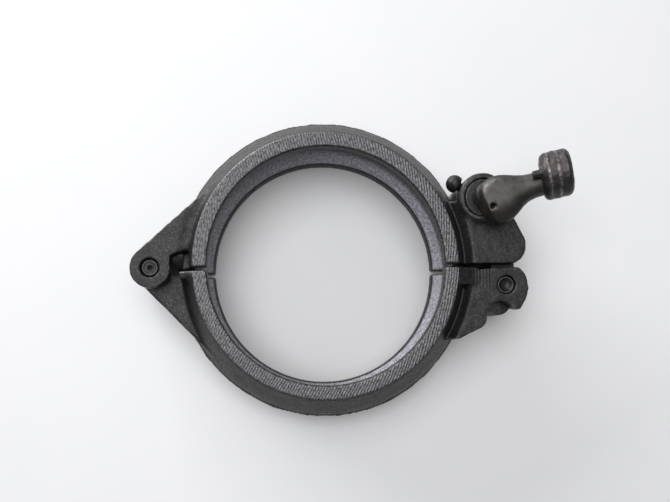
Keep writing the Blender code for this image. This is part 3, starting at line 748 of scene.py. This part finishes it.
def hub_pin_solid(name, radius, low, high, bevel=0.0):
    """Round bar that leans through the hub into the spigot."""
    profile = [(0.0, low), (radius, low), (radius, high - bevel), (radius - bevel, high),
               (0.0, high)]
    bar = turned(name, profile, segments=32)
    lean = Matrix.Rotation(math.radians(hub_pin_lean), 4, "Y")
    turn = Matrix.Rotation(math.radians(hub_pin_azimuth), 4, "Z")
    bar.data.transform(Matrix.Translation((*shaft, (hub_low + spigot_top) / 2)) @ turn @ lean)
    return bar


low = rear_face + 0.2
groove_floor = front_journal - 1.6
groove_low = retainer_height - 1.8
groove_high = retainer_height + 1.8
spigot_radius = 5.0
stepped = [(0.0, low), (rear_journal - 0.6, low), (rear_journal, low + 0.6),
           (rear_journal, tongue[1]), (front_journal, tongue[1]), (front_journal, groove_low),
           (groove_floor, groove_low), (groove_floor, groove_high), (front_journal, groove_high),
           (front_journal, journal_top), (spigot_radius, journal_top),
           (spigot_radius, spigot_top - 0.4), (spigot_radius - 0.4, spigot_top),
           (0.0, spigot_top)]
cam_shaft = turned("cam_shaft_turned", stepped, shaft)
cam_direction = 12.3
cam_centre = polar(shaft, -cam_throw, cam_direction)
cam = plate("cam", arc(cam_centre, cam_radius, 0.0, 360.0, 80)[:-1], slot[0] + 0.5, slot[1] + 0.3)
carve(cam_shaft, cam, "UNION")
relief_start = 3.4
relief_outline = [(relief_start, -20.0), (20.0, -20.0), (20.0, 20.0), (relief_start, 20.0)]
relief = plate("relief", relief_outline, *tongue)
relief_turn = Matrix.Rotation(math.radians(cam_direction), 4, "Z")
relief.data.transform(Matrix.Translation((*shaft, 0.0)) @ relief_turn)
carve(cam_shaft, relief, "DIFFERENCE")
carve(cam_shaft, hub_pin_solid("pin_hole", *hub_pin_hole), "DIFFERENCE")
finish_pin(cam_shaft, 0.4, 2, "lever", "cam_shaft", 0.04)

# ==== retaining pin =====================================================================
# A round-headed pin driven sideways into the shaft boss; its tip rides in the groove of
# the front journal and keeps the shaft from coming out.

head_middle = 18.9
head_ball = 5.3
shoulder = boss_radius + 0.5
tip = front_journal - 1.3
neck_start = front_journal + clearance
retainer_profile = [(0.0, tip), (1.5, tip), (1.5, neck_start), (retainer_radius, neck_start),
                    (retainer_radius, shoulder)]
ball_start = math.degrees(math.acos((shoulder + 0.8 - head_middle) / head_ball))
for i in range(25):
    angle = math.radians(ball_start * (1.0 - i / 24))
    retainer_profile.append((head_ball * math.sin(angle),
                             head_middle + head_ball * math.cos(angle)))
retainer = along_retainer(turned("retaining_pin_turned", retainer_profile))
finish_pin(retainer, 0.3, 2, "upper", "retaining_pin", 0.08)

# ==== washer ============================================================================
# A plain washer that lies in the boss's counterbore, under the lever's hub.

washer_low = washer_seat + 0.3
washer_high = washer_low + washer_thickness
washer_bore = 5.3
washer_rim = 11.1
washer_profile = [(washer_bore, washer_low), (washer_rim, washer_low),
                  (washer_rim, washer_high - 0.25), (10.8, washer_high),
                  (washer_bore, washer_high)]
washer = turned("hub_washer_turned", washer_profile, shaft)
skin(washer, 0.3, 2)
roughen(washer, 3.0, 0.05, None, 8.0)
put_in_place(washer)
washer.data.materials.append(forged_steel)
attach(washer, "lever")
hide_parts("hub_washer")

# ==== lever =============================================================================
# One smooth steel forging: a bulb over the spigot that narrows to a round neck, which
# rises and turns outwards to the striking head.

lever_azimuth = math.radians(25.0)
head_turn = math.radians(10.0)
head_tilt = math.radians(18.0)
hub_radius = 14.2
neck_radius = 7.2
head_length = 16.6
head_point = Vector((*polar(shaft, 37.8, 12.6), hub_low + 19.6))
head_axis = Vector((math.cos(head_turn) * math.cos(head_tilt),
                    math.sin(head_turn) * math.cos(head_tilt), math.sin(head_tilt)))
head_side = Vector((-math.sin(head_turn), math.cos(head_turn), 0.0))
along = Vector((math.cos(lever_azimuth), math.sin(lever_azimuth), 0.0))
across = Vector((-math.sin(lever_azimuth), math.cos(lever_azimuth), 0.0))
hub_middle = Vector((*shaft, hub_low + 7.5)) + 4.0 * along - 6.0 * across


def lever_skin():
    """Ellipses swept along the lever, each with its half width, half height and directions."""
    start = hub_middle - 12.0 * along
    end = head_point - head_axis * (head_length / 2 + 0.3) - 3.0 * head_side
    bend = end - head_axis * (end - hub_middle).length * 0.45
    shares = [0.04, 0.05, 0.075, 0.12, 0.18, 0.24, 0.32, 0.42, 0.54, 0.66, 0.80, 1.0]
    widths = [0.34, 0.55, 0.76, 0.91, 0.98, 1.0, 0.97, 0.85, 0.67, 0.55, 0.507, 0.507]
    steps = 64
    vertices = []
    fine = np.unique(np.concatenate([np.linspace(0.04, 0.12, 9), np.linspace(0.12, 1.0, 40)]))
    for share in fine:
        middle = start.lerp(bend, share).lerp(bend.lerp(end, share), share)
        width = hub_radius * float(np.interp(share, shares, widths))
        rising = max(0.0, min(1.0, (share - 0.3) / 0.5))
        rising = rising * rising * (3.0 - 2.0 * rising)
        height = min(7.5, width)
        height += (neck_radius - height) * rising
        side = across.lerp(head_side, share).normalized()
        up = Vector((0.0, 0.0, 1.0)).lerp(head_axis.cross(head_side), rising).normalized()
        for i in range(steps):
            angle = 2.0 * math.pi * i / steps
            vertices.append(middle + side * width * math.cos(angle) + up * height * math.sin(angle))
    faces = [tuple(range(steps)), tuple(reversed(range(len(vertices) - steps, len(vertices))))]
    for row in range(len(fine) - 1):
        for i in range(steps):
            a, b = row * steps + i, row * steps + (i + 1) % steps
            faces.append((b, a, a + steps, b + steps))
    return make_mesh("lever_forging", vertices, faces)


lever = lever_skin()
collar_radius = 7.4
collar = [(0.0, hub_low), (collar_radius - 0.4, hub_low), (collar_radius, hub_low + 0.4)]
collar += [(collar_radius * math.cos(t), hub_low + 7.5 + 3.5 * math.sin(t))
           for t in np.linspace(0.0, 1.4, 12)]
collar += [(0.0, hub_low + 11.0)]
carve(lever, turned("collar", collar, shaft), "UNION")
floor_outline = [(40.0, -40.0), (180.0, -40.0), (180.0, 120.0), (40.0, 120.0)]
carve(lever, plate("floor", floor_outline, 20.0, hub_low), "DIFFERENCE")
drill(lever, shaft, spigot_radius + clearance, hub_low - 1.0, spigot_top + 0.3)
carve(lever, hub_pin_solid("pin_hole", *hub_pin_hole), "DIFFERENCE")


def lever_colour(tree, place):
    """Even dark grey, lighter and browner where hands and blows have polished it."""
    broad = mapped(tree, noise_of(tree, place, 14.0, 3.0), 0.35, 0.65)
    colour = blended(tree, broad, from_hex("333331"), from_hex("4b4947"))
    specks = mapped(tree, noise_of(tree, place, 2.2, 5.0, 0.7), 0.56, 0.7, 0.0, 0.4)
    colour = blended(tree, specks, colour, from_hex("2a2929"))
    worn = mapped(tree, edge_of(tree), 0.3, 0.9, 0.0, 0.4)
    return blended(tree, worn, colour, from_hex("8f8a83"))


def lever_roughness(tree, place):
    return mapped(tree, noise_of(tree, place, 5.0, 4.0), 0.3, 0.7, 0.36, 0.5)


def lever_heights(tree, place):
    return [(noise_of(tree, place, 0.8, 3.0), 0.05, 0.7),
            (noise_of(tree, place, 4.0, 3.0), 0.08, 0.5)]


# Smooth forged steel, satin from handling.
lever_steel = surface("lever_steel", lever_colour, lever_roughness, 0.75, lever_heights)


def at_the_hub(points):
    """Fillet where the round collar grows out of the bulb."""
    from_shaft = np.hypot(points[:, 0] - shaft[0], points[:, 1] - shaft[1])
    return 0.9 * (from_shaft < 15.0) * (points[:, 2] > hub_low + 1.0)


skin(lever, 0.45, 5, at_the_hub, 70)
roughen(lever, 9.0, 0.12, None, 31.0)
put_in_place(lever)
lever.data.materials.append(lever_steel)
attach(lever, "lever")
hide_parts("lever_arm")

# ==== hub pin ===========================================================================
# A small round pin set at a slant through the hub into the spigot.

hub_pin = hub_pin_solid("hub_pin_turned", 1.5, -5.2, 9.0, 0.3)
finish_pin(hub_pin, 0.2, 1, "lever", "hub_roll_pin", 0.01)

# ==== striking head =====================================================================
# A short thick disc on the end of the neck that takes the hammer; its edges are battered
# round and bright bands are worn round it.

head_radius = 13.6


def head_frame():
    turn = Matrix((head_side.cross(head_axis), head_side, head_axis)).transposed().to_4x4()
    return Matrix.Translation(head_point) @ turn


def head_pin_solid(name, growth):
    """Pin set along the head's back face, just beside the neck."""
    radius = 2.2 + growth
    face = -head_length / 2
    beside, above = polar((-3.0, 0.0), neck_radius + 2.5, 64.0)
    stand, seat = face - 5.5, face + 4.0 + growth
    profile = [(0.0, stand), (radius - 0.5, stand), (radius, stand + 0.5), (radius, seat),
               (0.0, seat)]
    pin = turned(name, profile, (-above, beside), 48)
    pin.data.transform(head_frame())
    return pin


half = head_length / 2
back_side = [(2.8, 0.0), (1.2, 0.7), (0.2, 2.2), (0.0, 3.4), (0.35, 5.0), (0.05, 7.0), (0.0, 8.0),
             (0.3, 10.0)]
front_side = [(0.1, 3.0), (0.9, 1.4), (2.8, 0.3)]
head_profile = [(0.0, -half + 0.5), (8.0, -half + 0.3)]
head_profile += [(head_radius - inset, -half + along_it) for inset, along_it in back_side]
head_profile += [(head_radius - inset, half - along_it) for inset, along_it in front_side]
head_profile += [(8.0, half), (0.0, half)]
head = turned("striking_head_turned", head_profile)
head.data.transform(head_frame())
carve(head, head_pin_solid("pin_hole", 0.3), "DIFFERENCE")


def head_colour(tree, place):
    """Near-black with a red-brown bloom; two bands and the edges rubbed bright."""
    bloom = mapped(tree, noise_of(tree, place, 6.0, 4.0), 0.4, 0.65)
    colour = blended(tree, bloom, from_hex("373637"), from_hex("494445"))
    point = pipe_axis + head_point / 1000.0
    from_middle = add_node(tree, "ShaderNodeVectorMath", {0: place, 1: tuple(point)},
                           operation="SUBTRACT").outputs[0]
    distance = add_node(tree, "ShaderNodeVectorMath", {0: from_middle, 1: tuple(head_axis)},
                        operation="DOT_PRODUCT").outputs["Value"]
    wobble = math_of(tree, "MULTIPLY_ADD", noise_of(tree, place, 7.0, 3.0), 0.0018, -0.0009)
    distance = math_of(tree, "ADD", distance, wobble)
    rubbed = None
    for middle, half_width in ((-0.0046, 0.0005), (0.0006, 0.0006)):
        gap = math_of(tree, "ABSOLUTE", math_of(tree, "SUBTRACT", distance, middle))
        band = mapped(tree, gap, half_width * 1.8, half_width * 0.4)
        rubbed = band if rubbed is None else math_of(tree, "MAXIMUM", rubbed, band)
    patchy = mapped(tree, noise_of(tree, place, 2.6, 5.0, 0.7), 0.42, 0.62, 0.08, 0.5)
    rubbed = math_of(tree, "MULTIPLY", rubbed, patchy)
    worn = mapped(tree, edge_of(tree), 0.45, 1.0, 0.0, 0.5)
    return blended(tree, math_of(tree, "MAXIMUM", rubbed, worn), colour, from_hex("b9b3b0"))


def head_roughness(tree, place):
    return mapped(tree, noise_of(tree, place, 2.0, 4.0), 0.3, 0.7, 0.36, 0.55)


def head_heights(tree, place):
    return [(noise_of(tree, place, 0.9, 3.0), 0.08, 0.8),
            (noise_of(tree, place, 3.2, 3.0), 0.22, 0.7)]


# Hammered steel, dark with rubbed bands.
head_steel = surface("head_steel", head_colour, head_roughness, 0.75, head_heights)

skin(head, 0.45, 3)
roughen(head, 5.0, 0.25, None, 41.0)
put_in_place(head)
head.data.materials.append(head_steel)
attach(head, "lever")
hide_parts("striking_head")

# ==== head pin ==========================================================================
# The round pin that stands out of the head's back face beside the neck.

finish_pin(head_pin_solid("head_pin_turned", 0.0), 0.25, 2, "lever", "head_pin", 0.04)

# ==== bench and light ===================================================================
# A plain pale bench top under a wide overhead light and a stronger, low one from the back
# left, in a softly lit room.

bench_mesh = bpy.data.meshes.new("bench")
bench_mesh.from_pydata([(-3.0, -3.0, 0.0), (3.0, -3.0, 0.0), (3.0, 3.0, 0.0), (-3.0, 3.0, 0.0)],
                       [], [(0, 1, 2, 3)])
bench = bpy.data.objects.new("bench", bench_mesh)
bpy.context.scene.collection.objects.link(bench)
bench.location.z = cad_box[0][2] - 0.0002

# Pale painted sheet, very slightly mottled.
paint = bpy.data.materials.new("pale_paint")
paint.use_nodes = True
paint_tree = paint.node_tree
paint_place = add_node(paint_tree, "ShaderNodeTexCoord", {}).outputs["Object"]
paint_shader = paint_tree.nodes["Principled BSDF"]
paint_mottle = noise_of(paint_tree, paint_place, 90.0)
paint_colour = blended(paint_tree, paint_mottle, from_hex("e9eaec"), from_hex("efeff0"))
paint_tree.links.new(paint_colour, paint_shader.inputs["Base Color"])
paint_shader.inputs["Roughness"].default_value = 0.5
bench_mesh.materials.append(paint)


def area_light(name, place, target, size, watts):
    data = bpy.data.lights.new(name, "AREA")
    data.shape = "RECTANGLE"
    data.size, data.size_y = size
    data.energy = watts
    light = bpy.data.objects.new(name, data)
    light.location = place
    light.rotation_euler = (Vector(target) - Vector(place)).to_track_quat("-Z", "Y").to_euler()
    bpy.context.scene.collection.objects.link(light)
    return light


area_light("window", (-1.11, 1.59, 0.48), (0.0, 0.0, 0.02), (1.8, 0.6), 46.0)
area_light("overhead", (-0.3, 0.4, 1.85), (0.0, 0.0, 0.0), (1.8, 1.8), 28.0)

world = bpy.data.worlds.new("soft_room")
world.use_nodes = True
world.node_tree.nodes["Background"].inputs["Color"].default_value = from_hex("f1f1f2")
world.node_tree.nodes["Background"].inputs["Strength"].default_value = 0.27
bpy.context.scene.world = world
bpy.context.scene.view_settings.view_transform = "Standard"

# ==== camera ============================================================================
# It looks down on the front face, a little off the pipe axis and nearly square to it.

view = bpy.data.cameras.new("view")
view.sensor_width = 36.0
view.lens = 34.925
view.shift_x = -0.00868
view.shift_y = 0.16904
view.clip_start = 0.01
camera = bpy.data.objects.new("view", view)
bpy.context.scene.collection.objects.link(camera)
eye = Vector((-0.0200183, -0.0466238, 0.4351855))  # metres from the pipe axis
about_x, about_y, about_z = -0.03, -0.0689, -0.0245
place = Matrix.Translation(pipe_axis + eye)
turn = (Matrix.Rotation(about_x, 4, "X") @ Matrix.Rotation(about_y, 4, "Y")
        @ Matrix.Rotation(about_z, 4, "Z"))
camera.matrix_world = place @ turn
bpy.context.scene.camera = camera
